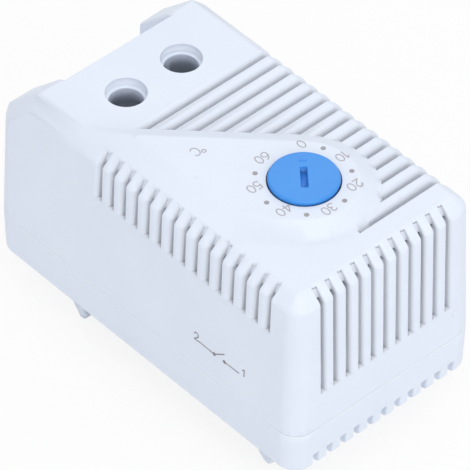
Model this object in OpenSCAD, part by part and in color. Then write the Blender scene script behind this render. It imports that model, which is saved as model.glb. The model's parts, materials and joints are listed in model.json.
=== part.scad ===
// Bimetal switch for a control cabinet: a moulded two-part case with a setting dial on its front,
// two screw terminals at one end and hooks for a 35 mm rail underneath.
// +X runs from the terminal end to the slotted end, +Z out of the dial face, Z = 0 at the hook tips.

/* [Case] */
// Length of the case at the parting line
case_length = 60; // [58:0.5:70]
// Width of the case at the parting line
case_width = 33; // [31:0.5:40]
// Height of the front face above the rail seat
front_height = 31; // [30:0.5:36]
// Height of the base tray, from the rail seat to the parting line
base_height = 6.9; // [6:0.1:9]
// Radius of the upright corners at the parting line
corner_radius = 3.2; // [2.8:0.1:4.5]
// Chamfer round the front face
edge_chamfer = 1.85; // [1.2:0.05:2]
// Draft of the housing walls, in degrees
housing_draft = 1.9; // [0.5:0.1:2.2]
// Draft of the base walls, in degrees
base_draft = 1.5; // [0.5:0.1:3]
// Radius of the base's lower edge
base_edge_radius = 0.8; // [0.5:0.1:2]
// Width of the small V along the parting line
parting_groove = 0.25; // [0.1:0.05:0.4]
// Thinnest housing wall, at the front
wall = 2; // [1.8:0.1:2.4]
// Thickness of the housing's front wall
roof = 2; // [1.8:0.1:2.6]
// Thickness of the base's floor
base_floor = 2; // [1.5:0.1:3]
// Height of the lip by which the base enters the housing
lip_height = 1.8; // [1:0.1:3]
// Thickness of that lip
lip_wall = 1.4; // [1:0.1:1.8]

/* [Terminal end] */
// Distance from the terminal end back to the wall with the wire entries
recess_depth = 6.95; // [6:0.05:8.5]
// Width of the recess between the two cheeks
recess_width = 18.8; // [17.5:0.1:20]
// Distance beyond that wall at which the cheeks begin to slope
cheek_start = 0.5; // [0:0.1:1]
// Slope of the cheeks, in degrees
cheek_slope = 45; // [42:1:48]
// Depth of the recess floor below the wire axis
sill_drop = 3.2; // [2.9:0.1:4.5]
// Diameter of a wire entry
wire_bore = 3.8; // [3:0.1:4.2]
// Diameter of the screwdriver opening at the front face
access_diameter = 5.7; // [5.2:0.1:6.4]
// Diameter of the bore below it
access_bore = 4.8; // [3.6:0.1:5]
// Depth of the wider opening
access_step = 1.5; // [0.6:0.1:1.7]
// Length of the driver tube below the front wall
tube_length = 3.6; // [3:0.1:4]
// Wall of the driver tube
tube_wall = 1.2; // [0.9:0.1:1.4]

/* [Plateau and dial] */
// Distance of the dial axis from the slotted end
dial_setback = 16.5; // [15.5:0.1:18]
// Diameter of the dial
dial_diameter = 9.64; // [9:0.02:11]
// Gap round the dial
dial_gap = 0.18; // [0.1:0.02:0.3]
// Height of the dial above the plateau
dial_proud = 0.6; // [0.2:0.05:0.8]
// Rounding of the dial's rim
dial_rim = 0.3; // [0.2:0.05:0.9]
// Depth of the well that holds the dial
well_depth = 2; // [1.6:0.1:2.2]
// Length of the dial's screwdriver slot
slot_length = 3.9; // [3:0.1:5]
// Width of that slot
slot_width = 0.95; // [0.7:0.05:1.2]
// Depth of that slot
slot_sink = 1.1; // [0.8:0.05:1.2]
// Height of the plateau above the front face
plateau_rise = 1.7; // [1.2:0.1:2]
// Radius of the plateau's foot round the dial
plateau_radius = 10.3; // [9.8:0.1:11]
// Slope of the plateau's edge, in degrees
plateau_slope = 30; // [28:1:40]
// Direction of the dial's zero mark, in degrees from +X
zero_angle = 140; // [130:1:150]

/* [Cooling slots] */
// Number of slots across the front and down each side
side_slots = 15; // [8:1:15]
// Spacing of the slots along the case
side_pitch = 2.34; // [2:0.01:2.4]
// Centre of the first slot
first_slot = -8.9; // [-9.5:0.1:-7]
// Number of slots down the slotted end
end_slots = 11; // [6:1:11]
// Spacing of the slots across the end
end_pitch = 2.24; // [2:0.01:2.4]
// Number of notches in the base's lower edge
notches = 11; // [6:1:11]
// Spacing of the notches
notch_pitch = 2.46; // [2.2:0.01:2.5]
// Width of a notch
notch_width = 0.9; // [0.7:0.05:1.2]
// Width of a slot
slot_gap = 0.7; // [0.6:0.05:1]
// Depth of a slot in the walls
slot_depth = 1.5; // [1:0.1:1.6]
// Depth of a slot at its bend, where it breaks through
bend_depth = 1.75; // [1.65:0.05:1.8]
// Depth of the channel inside the bend
bend_channel = 0.45; // [0.4:0.05:0.6]
// Height of a side slot's lower end above the rail seat
side_slot_low = 23.3; // [16:0.1:25]
// Height of an end slot's lower end above the rail seat
end_slot_low = 13.3; // [10:0.1:20]
// Depth of a notch from the end of the base
notch_depth = 1.3; // [0.8:0.1:1.8]
// Height of a notch
notch_height = 2.2; // [1:0.1:2.6]

/* [Rail hooks] */
// Depth of the hooks below the rail seat
hook_drop = 6; // [5.5:0.1:8]
// Width of the rail between the hooks
rail_width = 35; // [35:0.1:35.4]
// Space left beside the rail
rail_clearance = 0.15; // [0.1:0.05:0.3]
// Height of the space for the rail's flange
flange_space = 1.15; // [1.05:0.05:1.6]
// How far each hook reaches under the flange
hook_catch = 1.5; // [1:0.1:2.5]
// Distance of the hooks' ends from the sides of the case
hook_inset = 3; // [2:0.1:6]
// Depth of the relief in the base above each hook's catch
hook_relief = 0.4; // [0.2:0.1:1]

/* [Terminals] */
// Distance of the screw axes behind the wire entry wall
terminal_setback = 7.2; // [6.9:0.05:7.4]
// Distance between the two screw axes
terminal_pitch = 9.9; // [9.6:0.1:10.4]
// Length of a clamp cage along the wire
cage_length = 6; // [5:0.1:6.2]
// Width of a clamp cage
cage_width = 7; // [6.4:0.1:7.2]
// Side and lower wall of a clamp cage
cage_wall = 1.1; // [0.8:0.05:1.3]
// Threaded upper wall of a clamp cage
cage_nut = 1.8; // [1.4:0.1:2]
// Travel of a clamp cage
cage_lift = 2.2; // [1.6:0.1:2.4]
// Space for the wire under the bar, with the cage down
wire_space = 2.8; // [2.5:0.1:3]
// Diameter of a terminal screw's shank
screw_shank = 3.4; // [3:0.1:3.6]
// Diameter of a terminal screw's head
screw_head = 5.2; // [4.8:0.1:5.6]
// Height of a terminal screw's head
screw_head_height = 2.2; // [1.8:0.1:2.4]
// Thickness of the terminal bars
bar_thickness = 1; // [0.8:0.05:1.2]

/* [Switch] */
// Height of the pedestal under the contact stack
pedestal_height = 12; // [11:0.1:13]
// Length of the contact stack
stack_length = 5; // [4.4:0.1:5.4]
// Width of the contact stack
stack_width = 9; // [8.6:0.1:9.6]
// Thickness of the insulating plate between the two contact strips
insulator_thickness = 0.8; // [0.7:0.05:1.2]
// Thickness of the clamping plate on top of the stack
clamp_thickness = 1; // [0.8:0.1:1.4]
// Thickness of the bimetal strip
bimetal_thickness = 0.8; // [0.5:0.05:1]
// Thickness of the contact leaf
leaf_thickness = 0.4; // [0.3:0.05:0.6]
// Width of the strips at the stack
strip_width = 8; // [7.4:0.1:8.4]
// Width of the leaf beyond the stack
leaf_width = 5; // [4.4:0.1:6]
// Distance of the contacts beyond the dial axis
contact_lead = 6; // [5.6:0.1:6.4]
// Gap between the contacts
contact_gap = 0.4; // [0.3:0.05:0.6]
// Diameter of a contact
contact_diameter = 3; // [2.4:0.1:3]
// Length of the magnet along the case
magnet_length = 3.8; // [3:0.1:4]
// Width of the magnet
magnet_width = 7; // [6:0.1:7.6]
// Height of the magnet
magnet_height = 3; // [2:0.1:4]
// Air gap over the magnet
magnet_gap = 0.6; // [0.55:0.05:0.8]
// Thickness of the armature plate
armature_thickness = 0.5; // [0.4:0.05:0.6]
// Diameter of the setting spindle's thread
spindle_thread = 4; // [3.6:0.1:4.2]
// Diameter of the spindle's lower pin
spindle_pin = 2; // [1.6:0.1:2.4]
// Diameter of the dial's stem
stem_diameter = 5.2; // [5:0.1:5.6]
// Height of the setting bridge above the clamping plate
bridge_rise = 3.2; // [2.6:0.1:3.6]

/* [Hidden] */
$fn = 64;

// Clearances
running_fit = 0.05;
slide_fit = 0.25;
seat_gap = 0.15;
flex_gap = 0.12;
stack_gap = 0.2;
head_gap = 0.5;
lift_margin = 0.4;
nut_gap = 0.5;
block_gap = 0.3;
rivet_gap = 0.3;
pin_gap = 1.1;
magnet_space = 0.6;
beyond = 20;

// Heights of the case
z_seat = hook_drop;
z_part = z_seat + base_height;
z_front = z_seat + front_height;
z_shoulder = z_front - edge_chamfer;
z_plateau = z_front + plateau_rise;
z_roof = z_front - roof;
z_floor = z_seat + base_floor;
z_well = z_plateau - well_depth;

// Half sizes of the case and of the space inside it
half_length = case_length / 2;
half_width = case_width / 2;
dial_x = half_length - dial_setback;
function housing_inset(z) = tan(housing_draft) * (z - z_part);
shoulder_inset = housing_inset(z_shoulder);
front_half_width = half_width - shoulder_inset - edge_chamfer;
cavity_x = half_length - shoulder_inset - wall;
cavity_y = half_width - shoulder_inset - wall;
lip_outer = wall / 2 + seat_gap;
lip_inner = lip_outer + lip_wall;
base_inset = tan(base_draft) * base_height;

// Terminal end
x_wall = -half_length + recess_depth;
x_inside = x_wall + wall;
terminal_x = x_wall + terminal_setback;
terminal_y = terminal_pitch / 2;
z_tube = z_roof - tube_length;
z_head_top = z_tube - head_gap;
z_head = z_head_top - screw_head_height;
z_cage_top = z_head - cage_lift - lift_margin;
z_bar_top = z_cage_top - cage_nut - nut_gap;
z_bar = z_bar_top - bar_thickness;
z_cage_floor = z_bar - wire_space;
z_cage = z_cage_floor - cage_wall;
z_wire = z_bar - wire_space / 2;
z_sill = z_wire - sill_drop;
bar_width = cage_width - 2 * cage_wall - 2 * slide_fit;

// Carrier
carrier_wall = 1.4;
chamber_x = cage_length / 2 + slide_fit;
chamber_y = cage_width / 2 + slide_fit;
block_front = x_inside + 2 * seat_gap;
block_back = terminal_x + chamber_x + carrier_wall;
block_y = terminal_y + chamber_y + carrier_wall;
z_chamber = z_cage - slide_fit;
z_block_top = z_tube - block_gap;
deck_thickness = 1.6;
post_size = 4;

// Contact stack, from the pedestal up
bar_leg = block_back + seat_gap;
stack_x = bar_leg + bar_thickness + stack_gap;
stack_end = stack_x + stack_length;
pivot_x = stack_x + stack_length / 2;
rivet_y = 2.2;
rivet_diameter = 2;
rivet_hole = rivet_diameter + 2 * rivet_gap;
z_pedestal = z_floor + pedestal_height;
z_leaf = z_pedestal + bar_thickness + flex_gap;
z_leaf_top = z_leaf + leaf_thickness;
z_insulator = z_leaf_top + flex_gap;
z_bar_1_foot = z_insulator + insulator_thickness;
z_bimetal = z_bar_1_foot + bar_thickness + flex_gap;
z_bimetal_top = z_bimetal + bimetal_thickness;
z_clamp = z_bimetal_top + flex_gap;
z_clamp_top = z_clamp + clamp_thickness;
contact_x = dial_x + contact_lead;
contact_head = (z_bimetal - z_leaf_top - contact_gap) / 2;
contact_shank = contact_diameter / 2;
leaf_margin = 0.2;
leaf_end = contact_x + contact_diameter / 2 + leaf_margin;
magnet_x = leaf_end + magnet_space;
magnet_end = magnet_x + magnet_length;
bimetal_setback = 0.3;
bimetal_end = magnet_end - bimetal_setback;
z_magnet_top = z_bimetal - armature_thickness - magnet_gap;
z_magnet = z_magnet_top - magnet_height;
pin_hole = spindle_pin + 2 * pin_gap;

// Setting bridge, bush, spindle and dial
spindle_point = 1.4;
spindle_taper = 0.4;
bridge_thickness = 1.2;
bridge_width = 6.6;
z_bridge = z_clamp_top + bridge_rise;
z_bridge_top = z_bridge + bridge_thickness;
post_space = 3.2;
post_y = strip_width / 2 + post_space + post_size / 2;
bridge_reach = post_y + post_size / 2;
bush_wall = 0.9;
bush_rim = 1;
bush_reach = 1.4;
bush_body = spindle_thread + 2 * bush_wall;
bush_flange = bush_body + 2 * bush_rim;
bush_flange_height = 0.8;
z_bush = z_bridge - bush_reach;
bridge_screw_diameter = 2;
bridge_screw_length = 5;
bridge_screw_head = 3.6;
bridge_screw_head_height = 1.2;
washer_thickness = 0.26;
dial_radius = dial_diameter / 2;
washer_slack = 0.04;
z_dial = z_well + washer_thickness + washer_slack;
z_dial_top = z_plateau + dial_proud;
pointer_height = 0.15;
pointer_gap = 1;
pointer_width = 1.1;
pointer_length = 0.8;
stem_reach = 1.4;
stem_end = z_roof - stem_reach;
clip_thickness = 0.5;
clip_slack = 0.1;
z_clip = z_roof - clip_slack - clip_thickness;
clip_groove = 0.5;
key_width = 1.4;
key_length = 2.6;
key_fit = 0.1;
key_cover = 0.9;
z_key_top = z_dial_top - slot_sink - key_cover;
z_spindle_tip = z_leaf_top + running_fit;
thread_reach = 1.2;
thread_gap = 0.4;
z_thread = z_bush - thread_reach;
z_thread_top = stem_end - thread_gap;

// Outline of a moulded half, from [inset, height] pairs that run upwards
function across(profile, half) = concat(
    [for (p = profile) [half - p[0], p[1]]],
    [for (i = [len(profile) - 1 : -1 : 0]) [profile[i][0] - half, profile[i][1]]]);

function round_edge(inset, z, radius) =
    [for (a = [0 : 15 : 90]) [inset + radius * (1 - sin(a)), z + radius * (1 - cos(a))]];

housing_profile = [[parting_groove, z_part], [0, z_part + parting_groove],
                   [shoulder_inset, z_shoulder], [shoulder_inset + edge_chamfer, z_front]];
base_profile = concat(round_edge(base_inset, z_seat, base_edge_radius),
                      [[0, z_part - parting_groove], [parting_groove, z_part]]);

// Extrusions of an outline along X or along Y, centred
module along_x(length) { rotate([90, 0, 90]) linear_extrude(length, center = true) children(); }
module along_y(length) { rotate([90, 0, 0]) linear_extrude(length, center = true) children(); }

module box(low, high) { translate(low) cube(high - low); }

module tube(outer, inner, height) {
    difference() {
        cylinder(d = outer, h = height);
        translate([0, 0, -1]) cylinder(d = inner, h = height + 2);
    }
}

// Rectangular block with drafted walls and coned corners that share one upright axis
module moulded_block(profile) {
    reach_x = half_length - corner_radius;
    reach_y = half_width - corner_radius;
    low = profile[0][1];
    high = profile[len(profile) - 1][1];
    along_y(2 * reach_y) polygon(across(profile, half_length));
    along_x(2 * reach_x) polygon(across(profile, half_width));
    for (sx = [-1, 1], sy = [-1, 1])
        translate([sx * reach_x, sy * reach_y, 0]) rotate_extrude()
            polygon(concat([[0, low]], [for (p = profile) [corner_radius - p[0], p[1]]], [[0, high]]));
}

// Upright plate with rounded corners, set in from the parting outline
module inset_plate(inset, low, high) {
    radius = corner_radius - inset / 2;
    x = half_length - inset;
    y = half_width - inset;
    box([-x + radius, -y, low], [x - radius, y, high]);
    box([-x, -y + radius, low], [x, y - radius, high]);
    for (sx = [-1, 1], sy = [-1, 1])
        translate([sx * (x - radius), sy * (y - radius), low]) cylinder(r = radius, h = high - low);
}

// Raised field round the dial, which runs off diagonally to the near side
module plateau() {
    edge = plateau_rise / tan(plateau_slope);
    embed = roof / 2;
    strip = case_width;
    over = 1;
    section = [[-plateau_radius, -embed], [plateau_radius, -embed], [plateau_radius, 0],
               [plateau_radius - edge, plateau_rise], [edge - plateau_radius, plateau_rise],
               [-plateau_radius, 0]];
    intersection() {
        translate([dial_x, 0, z_front]) {
            rotate([0, 0, -45]) rotate_extrude(angle = 180)
                polygon([[0, -embed], [plateau_radius, -embed], [plateau_radius, 0],
                         [plateau_radius - edge, plateau_rise], [0, plateau_rise]]);
            rotate([0, 0, 225]) translate([strip / 2, 0, 0]) along_x(strip) polygon(section);
        }
        along_x(2 * case_length) polygon([
            [-front_half_width, z_front], [-front_half_width, z_front - embed],
            [half_width, z_front - embed], [half_width, z_plateau + over],
            [edge + over / tan(plateau_slope) - front_half_width, z_plateau + over]]);
    }
}

// Section of a slot that runs up a wall and over the chamfer, with a slightly sloping foot
slot_foot = 0.15;
bend_slope = 0.6;
bend_rise = 0.3;
z_bend = z_roof - bend_channel;
function slot_outline(half, z_low) = let (
        shoulder = half - shoulder_inset,
        rim = shoulder - edge_chamfer,
        outside = half + 1,
        z_foot = z_low + slot_foot,
        z_tail = z_low - (1 + housing_inset(z_low)) * slot_foot / slot_depth)
    [[outside, z_tail], [half - housing_inset(z_foot) - slot_depth, z_foot],
     [shoulder - slot_depth, z_bend - bend_slope], [shoulder - bend_depth, z_bend],
     [shoulder - bend_depth, z_roof + bend_rise], [rim, z_front], [rim + 1, z_front + 1],
     [outside, z_front + 1]];

module side_slot_cuts() {
    for (i = [0 : side_slots - 1], side = [0, 1])
        translate([first_slot + i * side_pitch, 0, 0]) mirror([0, side, 0])
            along_x(slot_gap) polygon(slot_outline(half_width, z_seat + side_slot_low));
}

module end_slot_cuts() {
    for (i = [0 : end_slots - 1])
        translate([0, (i - (end_slots - 1) / 2) * end_pitch, 0])
            along_y(slot_gap) polygon(slot_outline(half_length, z_seat + end_slot_low));
}

// Front slots run from the plateau's foot to the far side
module front_slot_cuts() {
    lean = plateau_radius / sqrt(2);
    difference() {
        for (i = [0 : side_slots - 1])
            translate([first_slot + i * side_pitch - slot_gap / 2, 0, 0])
                box([0, -front_half_width, z_front - slot_depth],
                    [slot_gap, front_half_width + edge_chamfer / 4, z_front + 1]);
        translate([dial_x, 0, z_front - slot_depth - 1]) {
            rotate([0, 0, -45]) rotate_extrude(angle = 180) square([plateau_radius, beyond]);
            linear_extrude(beyond) polygon([[0, 0], [-lean, lean],
                [-lean - case_length, lean - case_length], [case_length, -case_length], [case_length, 0]]);
        }
    }
}

// Cheeks slope back from the front face, with the case's chamfer along their outer edges
module cheek_cuts() {
    run = recess_depth + beyond;
    rise = run * tan(cheek_slope);
    start = x_wall - cheek_start;
    run_out = 1;
    along_y(2 * case_width) polygon([[start, z_front], [start - run, z_front - rise],
                                     [start - run, z_front + beyond], [start, z_front + beyond]]);
    for (side = [0, 1])
        mirror([0, side, 0]) translate([start, half_width - shoulder_inset, z_front])
            rotate([0, -cheek_slope, 0]) along_x(2 * run)
                polygon([[-edge_chamfer, 0], [run_out, -edge_chamfer - run_out],
                         [beyond, -edge_chamfer - run_out], [beyond, beyond], [-edge_chamfer, beyond]]);
}

module wire_recess() {
    box([-half_length - beyond, -recess_width / 2, z_sill], [x_wall, recess_width / 2, z_front + beyond]);
}

// Space inside the housing, stepped round the recess, with the rabbet for the base's lip
module housing_cavity() {
    cheek_inner = recess_width / 2 + wall;
    cheek_run = cavity_x + x_wall - cheek_start;
    cheek_top = z_front - cheek_run * tan(cheek_slope) - wall / cos(cheek_slope);
    box([x_inside, -cavity_y, z_part - 1], [cavity_x, cavity_y, z_roof]);
    box([first_slot - slot_gap, -cavity_y - bend_channel, z_bend - bend_channel / 2],
        [cavity_x + bend_channel, cavity_y + bend_channel, z_roof]);
    box([-cavity_x, -cavity_y, z_part - 1], [x_inside + 1, cavity_y, z_sill - wall]);
    for (side = [0, 1])
        mirror([0, side, 0])
            box([-cavity_x, cheek_inner, z_part - 1], [x_inside + 1, cavity_y, cheek_top]);
    inset_plate(wall / 2, z_part - 1, z_part + lip_height + seat_gap);
}

module wire_entry(side) {
    lead = 0.7;
    translate([x_wall - 1, side * terminal_y, z_wire]) rotate([0, 90, 0]) {
        cylinder(d = wire_bore, h = wall + 2);
        cylinder(d1 = wire_bore + 2 * (lead + 1), d2 = wire_bore, h = lead + 1);
    }
}

module driver_tube(side) {
    translate([terminal_x, side * terminal_y, z_tube])
        cylinder(d = access_bore + 2 * tube_wall, h = tube_length + roof / 2);
}

module access_opening(side) {
    translate([terminal_x, side * terminal_y, 0]) {
        translate([0, 0, z_tube - 1]) cylinder(d = access_bore, h = tube_length + roof + 2);
        translate([0, 0, z_front - access_step]) cylinder(d = access_diameter, h = access_step + 1);
    }
}

module housing() {
    color([0.86, 0.9, 0.94]) difference() {
        union() {
            difference() {
                union() {
                    moulded_block(housing_profile);
                    plateau();
                }
                housing_cavity();
            }
            for (side = [-1, 1]) driver_tube(side);
        }
        cheek_cuts();
        wire_recess();
        side_slot_cuts();
        end_slot_cuts();
        front_slot_cuts();
        for (side = [-1, 1]) {
            wire_entry(side);
            access_opening(side);
        }
        translate([dial_x, 0, z_well]) cylinder(r = dial_radius + dial_gap, h = well_depth + 1);
        translate([dial_x, 0, z_roof - 1]) cylinder(d = stem_diameter + 2 * running_fit, h = beyond);
    }
}

// Hook outlines in X and Z, for the rail's edge on the terminal side and on the slotted side
rail_edge = rail_width / 2 + rail_clearance;
hook_y = half_width - hook_inset;
relief_margin = 0.4;
z_catch = z_seat - flange_space;
hook_root = 2.7;
fixed_knee = [0.1, 2.1];
fixed_toe = 1.7;
fixed_tip = [2.6, 0.1];
fixed_lead = [1.3, 1.1];
snap_lip = 0.9;
snap_knee = [1.7, 2.6];
snap_ankle = [2.5, 1.5];
snap_toe = [3.3, 0.8];
snap_heel = [4.2, 0.6];
snap_back = 4.8;
snap_round = 1.2;
function fixed_hook() = [[-rail_edge - hook_root, z_seat + 1], [-rail_edge - hook_root, z_seat],
    [fixed_knee[0] - rail_edge, fixed_knee[1]], [fixed_toe - rail_edge, 0],
    [fixed_tip[0] - rail_edge, fixed_tip[1]], [hook_catch + fixed_lead[0] - rail_edge, fixed_lead[1]],
    [hook_catch - rail_edge, z_catch], [-rail_edge, z_catch], [-rail_edge, z_seat + 1]];
function snap_hook() = [[rail_edge, z_seat + 1], [rail_edge, z_catch], [rail_edge - hook_catch, z_catch],
    [rail_edge - hook_catch, z_catch - snap_lip], [rail_edge + snap_knee[0], snap_knee[1]],
    [rail_edge + snap_ankle[0], snap_ankle[1]], [rail_edge + snap_toe[0], snap_toe[1]],
    [rail_edge + snap_heel[0], snap_heel[1]], [rail_edge + snap_back, snap_round],
    [rail_edge + snap_back, z_seat + 1]];

module hook_relief_cut() {
    box([-rail_edge, -hook_y, z_seat - flange_space / 2],
        [hook_catch + relief_margin - rail_edge, hook_y, z_seat + hook_relief]);
}

module base() {
    color([0.84, 0.88, 0.92]) difference() {
        union() {
            moulded_block(base_profile);
            inset_plate(lip_outer, z_floor, z_part + lip_height);
            along_y(2 * hook_y) polygon(fixed_hook());
            along_y(2 * hook_y) polygon(snap_hook());
        }
        inset_plate(lip_inner, z_floor, z_part + lip_height + 1);
        hook_relief_cut();
        mirror([1, 0, 0]) hook_relief_cut();
        for (i = [0 : notches - 1])
            translate([half_length, (i - (notches - 1) / 2) * notch_pitch, z_seat])
                cube([2 * (notch_depth + base_inset), notch_width, 2 * notch_height], center = true);
    }
}

// Insulating carrier: terminal chambers, pedestal, bridge posts and magnet seat on one deck
module carrier() {
    magnet_wall = 1;
    magnet_seat = 0.6;
    post_top = z_bridge;
    hollow_y = block_y - carrier_wall;
    color([0.2, 0.21, 0.23]) difference() {
        union() {
            box([block_front, -block_y, z_floor], [block_back, block_y, z_block_top]);
            box([block_front, -block_y, z_floor],
                [magnet_end + magnet_wall, block_y, z_floor + deck_thickness]);
            box([stack_x, -stack_width / 2, z_floor], [stack_end, stack_width / 2, z_pedestal]);
            box([magnet_x - magnet_wall, -magnet_width / 2 - magnet_wall, z_floor],
                [magnet_end + magnet_wall, magnet_width / 2 + magnet_wall, z_magnet + magnet_seat]);
            for (side = [-1, 1])
                translate([dial_x - post_size / 2, side * post_y - post_size / 2, z_floor])
                    cube([post_size, post_size, post_top - z_floor]);
        }
        box([block_front + carrier_wall, -hollow_y, z_floor - 1],
            [block_back - carrier_wall, hollow_y, z_chamber - carrier_wall]);
        for (side = [-1, 1]) {
            translate([terminal_x, side * terminal_y, 0]) {
                box([-chamber_x, -chamber_y, z_chamber], [chamber_x, chamber_y, z_roof]);
                box([0, -bar_width / 2 - slide_fit, z_bar - running_fit],
                    [block_back - terminal_x + 1, bar_width / 2 + slide_fit, z_roof]);
                translate([block_front - terminal_x - 1, 0, z_wire]) rotate([0, 90, 0])
                    cylinder(d = wire_bore + 2 * slide_fit, h = carrier_wall + 2);
            }
            translate([dial_x, side * post_y, post_top - bridge_screw_length])
                cylinder(d = bridge_screw_diameter, h = bridge_screw_length + 1);
            translate([pivot_x, side * rivet_y, z_floor + deck_thickness])
                cylinder(d = rivet_diameter, h = z_pedestal);
        }
        box([magnet_x, -magnet_width / 2, z_magnet], [magnet_end, magnet_width / 2, z_magnet_top]);
    }
}

module dial() {
    rim_arc = [for (a = [0 : 15 : 90])
        [dial_radius - dial_rim * (1 - cos(a)), z_dial_top - dial_rim * (1 - sin(a))]];
    groove = stem_diameter / 2 - clip_groove;
    slack = 0.02;
    translate([dial_x, 0, 0]) color([0.33, 0.63, 0.96]) {
        difference() {
            rotate_extrude() polygon(concat(
                [[0, stem_end], [stem_diameter / 2, stem_end], [stem_diameter / 2, z_clip - slack],
                 [groove, z_clip - slack], [groove, z_clip + clip_thickness + slack],
                 [stem_diameter / 2, z_clip + clip_thickness + slack], [stem_diameter / 2, z_dial],
                 [dial_radius, z_dial]], rim_arc, [[0, z_dial_top]]));
            rotate([0, 0, zero_angle]) {
                translate([0, 0, z_dial_top]) cube([slot_length, slot_width, 2 * slot_sink], center = true);
                box([-key_length / 2 - key_fit, -key_width / 2 - key_fit, stem_end - 1],
                    [key_length / 2 + key_fit, key_width / 2 + key_fit, z_key_top + 2 * key_fit]);
            }
        }
        rotate([0, 0, zero_angle]) translate([slot_length / 2 + pointer_gap, 0, z_dial_top - pointer_height])
            linear_extrude(2 * pointer_height)
                polygon([[0, -pointer_width / 2], [pointer_length, 0], [0, pointer_width / 2]]);
    }
}

module friction_washer() {
    margin = 0.5;
    play = 0.2;
    color("silver") translate([dial_x, 0, z_well])
        tube(dial_diameter - 2 * margin, stem_diameter + 2 * play, washer_thickness);
}

// Open spring clip in the stem's groove, under the front wall
module dial_clip() {
    inner = stem_diameter - 2 * clip_groove + 2 * running_fit;
    mouth = 3;
    ring = 1.3;
    color("silver") translate([dial_x, 0, z_clip]) difference() {
        tube(stem_diameter + 2 * ring, inner, clip_thickness);
        box([0, -mouth / 2, -1], [stem_diameter, mouth / 2, clip_thickness + 1]);
    }
}

module setting_spindle() {
    color("goldenrod") translate([dial_x, 0, 0]) {
        translate([0, 0, z_spindle_tip]) cylinder(d1 = spindle_point, d2 = spindle_pin, h = spindle_taper);
        translate([0, 0, z_spindle_tip + spindle_taper])
            cylinder(d = spindle_pin, h = z_thread - z_spindle_tip - spindle_taper);
        translate([0, 0, z_thread]) cylinder(d = spindle_thread, h = z_thread_top - z_thread);
        rotate([0, 0, zero_angle])
            box([-key_length / 2, -key_width / 2, z_thread_top], [key_length / 2, key_width / 2, z_key_top]);
    }
}

module threaded_bush() {
    bore = spindle_thread + 2 * running_fit;
    color("goldenrod") translate([dial_x, 0, 0]) {
        translate([0, 0, z_bush]) tube(bush_body, bore, z_bridge_top - z_bush);
        translate([0, 0, z_bridge_top]) tube(bush_flange, bore, bush_flange_height);
    }
}

module setting_bridge() {
    color("gainsboro") translate([dial_x, 0, z_bridge]) difference() {
        box([-bridge_width / 2, -bridge_reach, 0], [bridge_width / 2, bridge_reach, bridge_thickness]);
        translate([0, 0, -1]) cylinder(d = bush_body, h = bridge_thickness + 2);
        for (side = [-1, 1])
            translate([0, side * post_y, -1]) cylinder(d = bridge_screw_diameter, h = bridge_thickness + 2);
    }
}

module bridge_screws() {
    drive_width = 0.6;
    drive_depth = 0.6;
    color("silver") for (side = [-1, 1])
        translate([dial_x, side * post_y, z_bridge_top]) difference() {
            union() {
                cylinder(d = bridge_screw_head, h = bridge_screw_head_height);
                translate([0, 0, -bridge_screw_length])
                    cylinder(d = bridge_screw_diameter, h = bridge_screw_length);
            }
            translate([0, 0, bridge_screw_head_height])
                cube([beyond, drive_width, 2 * drive_depth], center = true);
        }
}

module rivet_holes(height, diameter = rivet_hole) {
    for (side = [-1, 1])
        translate([pivot_x, side * rivet_y, -1]) cylinder(d = diameter, h = height + 2);
}

module bimetal_strip() {
    color("darkgoldenrod") translate([0, 0, z_bimetal]) difference() {
        box([stack_x, -strip_width / 2, 0], [bimetal_end, strip_width / 2, bimetal_thickness]);
        rivet_holes(bimetal_thickness);
        translate([dial_x, 0, -1]) cylinder(d = pin_hole, h = bimetal_thickness + 2);
        translate([contact_x, 0, -1]) cylinder(d = contact_shank, h = bimetal_thickness + 2);
    }
}

module contact_rivet(head, grip) {
    tail = 0.4;
    flare = 0.35;
    cylinder(d = contact_diameter, h = head);
    translate([0, 0, head]) cylinder(d = contact_shank, h = grip);
    translate([0, 0, head + grip]) cylinder(d1 = contact_shank + 2 * flare, d2 = contact_shank, h = tail);
}

module moving_contact() {
    color("lightgray") translate([contact_x, 0, z_bimetal - contact_head])
        contact_rivet(contact_head, bimetal_thickness);
}

module armature() {
    front = 0.2;
    back = 0.1;
    color("dimgray") box([magnet_x + front, -magnet_width / 2, z_bimetal - armature_thickness],
                         [bimetal_end - back, magnet_width / 2, z_bimetal]);
}

module contact_leaf() {
    shoulder = stack_end + 1.5;
    neck = shoulder + 2;
    color("peru") translate([0, 0, z_leaf]) difference() {
        linear_extrude(leaf_thickness) polygon([
            [stack_x, -strip_width / 2], [shoulder, -strip_width / 2], [neck, -leaf_width / 2],
            [leaf_end, -leaf_width / 2], [leaf_end, leaf_width / 2], [neck, leaf_width / 2],
            [shoulder, strip_width / 2], [stack_x, strip_width / 2]]);
        rivet_holes(leaf_thickness);
        translate([contact_x, 0, -1]) cylinder(d = contact_shank, h = leaf_thickness + 2);
    }
}

module fixed_contact() {
    color("lightgray") translate([contact_x, 0, z_leaf_top + contact_head]) mirror([0, 0, 1])
        contact_rivet(contact_head, leaf_thickness);
}

module snap_magnet() {
    color("dimgray")
        box([magnet_x, -magnet_width / 2, z_magnet], [magnet_end, magnet_width / 2, z_magnet_top]);
}

module stack_plate(z, height, hole) {
    translate([0, 0, z]) difference() {
        box([stack_x, -stack_width / 2, 0], [stack_end, stack_width / 2, height]);
        rivet_holes(height, hole);
    }
}

module insulator() { color("saddlebrown") stack_plate(z_insulator, insulator_thickness, rivet_hole); }
module clamp_plate() { color("saddlebrown") stack_plate(z_clamp, clamp_thickness, rivet_diameter); }

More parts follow.
